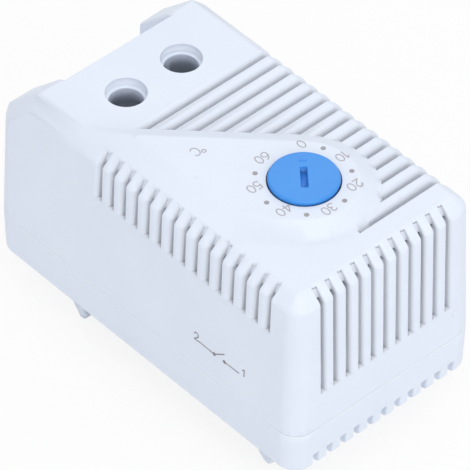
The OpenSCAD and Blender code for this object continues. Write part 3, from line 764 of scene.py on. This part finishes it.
def make_scale_print():
    made = bmesh.new()
    dots = bmesh.new()
    top = Face((DIAL_X, 0.0, Z_PLATEAU), (0, -1, 0), (1, 0, 0))
    for step in range(NUMBERS):
        turn = math.radians(SCALE_ZERO - step * SCALE_STEP)
        add_figures(made, top, str(step * 10), number_place(turn), NUMBER_HEIGHT, PEN)
        if step < NUMBERS - 1:
            turn = math.radians(SCALE_ZERO - (step + 0.5) * SCALE_STEP)
            u, v = -DOT_RADIUS * math.sin(turn), DOT_RADIUS * math.cos(turn)
            add_slab(dots, top, circle(u, v, DOT_SIZE))
    add_figures(made, top, ["degree"], DEGREE_PLACE, NUMBER_HEIGHT, PEN)
    add_figures(made, top, ["C"], UNIT_PLACE, UNIT_HEIGHT, PEN)
    case_piece(made, "scale_print", scale_ink)
    case_piece(dots, "scale_dots", dot_ink)


make_scale_print()


# Contact symbol low on the long side: a switch arm between two numbered terminals.
SYMBOL_Z = 18.0
SYMBOL_PEN = 0.17
SYMBOL_DOT = 0.3
LEFT_NUMBER = (10.71, 0.52)
LEFT_NUMBER_HEIGHT = 1.3
LEFT_LEAD = (11.25, -0.05)
ARM_FOOT = (14.2, -0.15)
ARM_TIP = (16.1, 1.2)
STOP_DOT = (16.2, -0.12)
RIGHT_LEAD = (19.0, -0.05)
RIGHT_NUMBER = (19.85, 0.62)
RIGHT_NUMBER_HEIGHT = 1.2


def make_symbol_print():
    made = bmesh.new()
    lean = DRAFT * (SYMBOL_Z - Z_PART)
    side = Face((0.0, lean - HALF_WIDTH, SYMBOL_Z), (1, 0, 0), (0, DRAFT, 1))
    add_figures(made, side, ["2"], LEFT_NUMBER, LEFT_NUMBER_HEIGHT, SYMBOL_PEN)
    add_stroke(made, side, [LEFT_LEAD, ARM_FOOT], SYMBOL_PEN, INK_LAYER)
    add_slab(made, side, circle(*ARM_FOOT, SYMBOL_DOT))
    add_stroke(made, side, [ARM_FOOT, ARM_TIP], SYMBOL_PEN, 2 * INK_LAYER)
    add_slab(made, side, circle(*STOP_DOT, SYMBOL_DOT))
    add_stroke(made, side, [STOP_DOT, RIGHT_LEAD], SYMBOL_PEN, INK_LAYER)
    add_figures(made, side, ["1"], RIGHT_NUMBER, RIGHT_NUMBER_HEIGHT, SYMBOL_PEN)
    case_piece(made, "contact_print", symbol_ink)


make_symbol_print()


# Moulding marks: gate and ejector spots on the case's faces.
GATE_PROFILE = ((0.27, -0.03), (0.27, 0.02), (0.21, 0.05), (0.12, 0.035), (0.0, 0.02))
EJECTOR_PROFILE = ((0.52, -0.03), (0.5, 0.07), (0.42, 0.13), (0.34, 0.13), (0.26, 0.06), (0.0, 0.06))
SPIN_STEPS = 28
SIDE_GATE_X = -18.4
SIDE_GATE_Z = 21.2
PLATEAU_GATES = ((3.7, -10.2), (12.3, -9.8))
EJECTOR_Y = 12.6
EJECTOR_Z = 17.7


def add_spot(made, face, profile):
    """Adds a shallow round spot, from its profile of radius and height."""
    rows = []
    for radius, height in profile[:-1]:
        outline = circle(0.0, 0.0, radius, SPIN_STEPS)
        rows.append([made.verts.new(face.at(u, v, height)) for u, v in outline])
    for first, second in zip(rows, rows[1:]):
        for index in range(SPIN_STEPS):
            after = (index + 1) % SPIN_STEPS
            made.faces.new((first[index], first[after], second[after], second[index]))
    top = made.verts.new(face.at(0.0, 0.0, profile[-1][1]))
    for index in range(SPIN_STEPS):
        made.faces.new((rows[-1][index], rows[-1][(index + 1) % SPIN_STEPS], top))
    made.faces.new(list(reversed(rows[0])))


def make_moulding_marks():
    made = bmesh.new()
    lean = DRAFT * (SIDE_GATE_Z - Z_PART)
    side = Face((SIDE_GATE_X, lean - HALF_WIDTH, SIDE_GATE_Z), (1, 0, 0), (0, DRAFT, 1))
    add_spot(made, side, GATE_PROFILE)
    for x, y in PLATEAU_GATES:
        add_spot(made, Face((x, y, Z_PLATEAU), (1, 0, 0), (0, 1, 0)), GATE_PROFILE)
    lean = DRAFT * (EJECTOR_Z - Z_PART)
    end = Face((HALF_LENGTH - lean, EJECTOR_Y, EJECTOR_Z), (0, 1, 0), (-DRAFT, 0, 1))
    add_spot(made, end, EJECTOR_PROFILE)
    case_piece(made, "moulding_marks", case_plastic)


make_moulding_marks()


# Parting line: a lip just inside the case's outline, where the two mouldings meet, paler than the case as a
# painted highlight.
LIP_INSET = 0.03
LIP_WIDTH = 0.5
LIP_HEIGHT = 0.32
LIP_RISE = 0.12
CORNER_RADIUS = 3.2


def case_outline(inset):
    """The case's outline at the parting line, drawn in by a distance."""
    radius = CORNER_RADIUS - inset
    x, y = HALF_LENGTH - CORNER_RADIUS, HALF_WIDTH - CORNER_RADIUS
    points = []
    for corner_x, corner_y, start in ((x, y, 0), (-x, y, 90), (-x, -y, 180), (x, -y, 270)):
        points += arc(corner_x, corner_y, radius, radius, start, start + 90)
    return points


def make_seam_lip():
    made = bmesh.new()
    level = Face((0.0, 0.0, Z_PART), (1, 0, 0), (0, 1, 0))
    add_ring(made, level, case_outline(LIP_INSET), case_outline(LIP_WIDTH), -LIP_HEIGHT, LIP_RISE)
    case_piece(made, "seam_lip", seam_highlight_plastic)


make_seam_lip()


# Studio: a pale floor that shows white, an even surround and soft lamps.
FLOOR_REACH = 3.0
FLOOR_TONE = (0.9, 0.9, 0.9, 1.0)
FLOOR_GLOW = 0.85
SURROUND = 0.698
LAMP_AIM = Vector((0.0, 0.0, 0.02))


def make_floor():
    mesh = bpy.data.meshes.new("floor")
    corners = [(x * FLOOR_REACH, y * FLOOR_REACH, 0) for x, y in ((-1, -1), (1, -1), (1, 1), (-1, 1))]
    mesh.from_pydata(corners, [], [(0, 1, 2, 3)])
    finish = Finish("floor_white")
    direct = finish.start.node("ShaderNodeLightPath", output="Is Camera Ray")
    glossy = finish.start.node("ShaderNodeLightPath", output="Is Glossy Ray")
    through = finish.start.node("ShaderNodeLightPath", output="Is Transmission Ray")
    seen = direct.math("MAXIMUM", direct.math("MAXIMUM", direct, glossy), through)
    matt = finish.start.node("ShaderNodeBsdfDiffuse", Color=FLOOR_TONE)
    white = finish.start.node("ShaderNodeEmission", Color=WHITE, Strength=1.0)
    shown = finish.start.node("ShaderNodeMixShader", in0=seen * FLOOR_GLOW, in1=matt, in2=white)
    finish.start.node("ShaderNodeOutputMaterial", Surface=shown)
    floor = bpy.data.objects.new("floor", mesh)
    mesh.materials.append(finish.material)
    scene.collection.objects.link(floor)


def make_lamp(name, size, power, place, colour=(1.0, 1.0, 1.0)):
    data = bpy.data.lights.new(name, "AREA")
    data.shape = "SQUARE"
    data.size = size
    data.energy = power
    data.color = colour
    lamp = bpy.data.objects.new(name, data)
    scene.collection.objects.link(lamp)
    lamp.location = place
    lamp.rotation_mode = "QUATERNION"
    lamp.rotation_quaternion = (LAMP_AIM - Vector(place)).to_track_quat("-Z", "Y")


def make_surround(strength):
    world = bpy.data.worlds.new("surround")
    scene.world = world
    world.use_nodes = True
    tree = world.node_tree
    tree.nodes.clear()
    start = Wire(tree, None)
    camera_ray = start.node("ShaderNodeLightPath", output="Is Camera Ray")
    glow = start.node("ShaderNodeBackground", Color=WHITE, Strength=strength)
    white = start.node("ShaderNodeBackground", Color=WHITE, Strength=1.0)
    shown = start.node("ShaderNodeMixShader", in0=camera_ray, in1=glow, in2=white)
    start.node("ShaderNodeOutputWorld", Surface=shown)


make_floor()
make_surround(SURROUND)
make_lamp("top_softbox", 0.5, 1.74, (0.25, -0.13, 0.75))
make_lamp("end_softbox", 0.4, 0.95, (0.7, -0.25, 0.35))
make_lamp("side_fill", 0.4, 0.1, (-0.35, -0.75, 0.25), (0.35, 0.5, 1.0))
make_lamp("back_softbox", 0.4, 0.6, (-0.4, 0.6, 0.6))

scene.view_settings.view_transform = "Standard"
